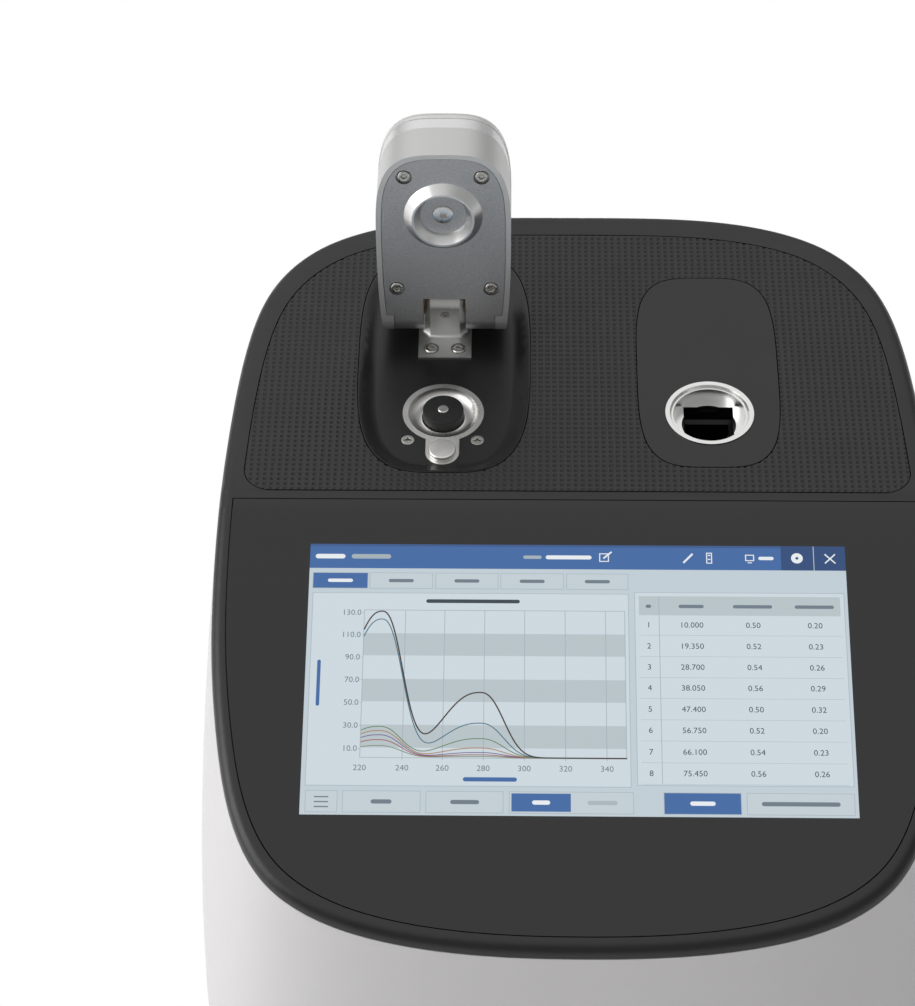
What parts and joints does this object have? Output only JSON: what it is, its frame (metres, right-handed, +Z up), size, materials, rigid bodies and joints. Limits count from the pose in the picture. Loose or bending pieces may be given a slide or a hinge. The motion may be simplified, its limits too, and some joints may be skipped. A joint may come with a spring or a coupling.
{
  "type": "microvolume spectrophotometer",
  "caption": "Bench spectrophotometer with sloped screen, textured flat top, swing-down measuring arm over a polished sample pedestal, and a round cuvette port.",
  "frame": {"origin": "centre of the bounding box in plan, at the bench face of the rubber feet", "axes": "+X to the user's right, +Y to the back, +Z up; the screen faces -Y and up"},
  "size_m": [0.2352, 0.2714, 0.2345],
  "materials": {
    "body_light": "fine matt, light grey",
    "body_dark": "satin, near black",
    "pad_dark": "matt, embossed pyramids",
    "screen_glass": "clear gloss over a black back print",
    "display": "lit display panel",
    "sheet_steel": "zinc-plated sheet",
    "tray_dark": "satin black",
    "polished_steel": "polished stainless steel",
    "puck_black": "rough black",
    "screw_steel": "stainless steel",
    "bracket_metal": "bead-blasted",
    "bush_bronze": "sintered bronze",
    "arm_white": "satin, warm white",
    "arm_band_light": "clear satin, bright",
    "arm_plate_metal": "bead-blasted, mid grey",
    "cup_metal": "bright turned",
    "disc_grey": "matt grey",
    "holder_black": "black anodised",
    "rubber_black": "matt",
    "board_green": "solder mask",
    "module_metal": "plain cast",
    "socket_black": "moulded",
    "socket_steel": "tinned steel"
  },
  "bodies": {
    "housing": {"lower_housing": "body_light", "base_plate": "sheet_steel", "rubber_feet": "rubber_black", "base_screws": "screw_steel", "upper_shell": "body_dark", "grip_pad": "pad_dark", "display_glass": "screen_glass", "display_module": "display", "display_bracket": "sheet_steel", "sample_tray": "tray_dark", "pedestal_plate": "polished_steel", "pedestal_puck": "puck_black", "rest_button": "polished_steel", "tray_screws": "screw_steel", "path_actuator": "module_metal", "hinge_bracket": "bracket_metal", "bracket_screws": "screw_steel", "hinge_pin": "polished_steel", "hinge_grub_screw": "screw_steel", "cuvette_pad": "tray_dark", "cuvette_ring": "cup_metal", "cuvette_holder": "holder_black", "board_standoffs": "screw_steel", "main_board": "board_green", "optics_deck": "sheet_steel", "spectrometer": "module_metal", "flash_lamp": "module_metal", "rear_panel": "body_dark", "power_switch": "socket_black", "dc_inlet": "socket_black", "usb_sockets": "socket_steel", "network_socket": "socket_steel"},
    "arm": {"arm_frame": "arm_white", "arm_plate": "arm_plate_metal", "arm_plate_screws": "screw_steel", "arm_band": "arm_band_light", "arm_cover": "arm_white", "hinge_bushes": "bush_bronze", "optic_cup": "cup_metal", "optic_disc": "disc_grey", "arm_ferrule": "polished_steel"},
    "path_lift": {"sample_ferrule": "polished_steel", "lift_carriage": "polished_steel"},
    "rocker": {"power_rocker": "socket_black"}
  },
  "joints": [
    {"name": "arm_hinge", "type": "hinge", "parent": "housing", "child": "arm", "pos_m": [-0.03975, 0.08009, 0.1744], "axis": [1, 0, 0], "range_deg": [0, 96]},
    {"name": "path_slide", "type": "slide", "parent": "housing", "child": "path_lift", "axis": [0, 0, 1], "range_m": [-0.001, 0]},
    {"name": "rocker_tilt", "type": "hinge", "parent": "housing", "child": "rocker", "pos_m": [-0.036, 0.1282, 0.034], "axis": [0, 0, 1], "range_deg": [-16, 0]}
  ]
}
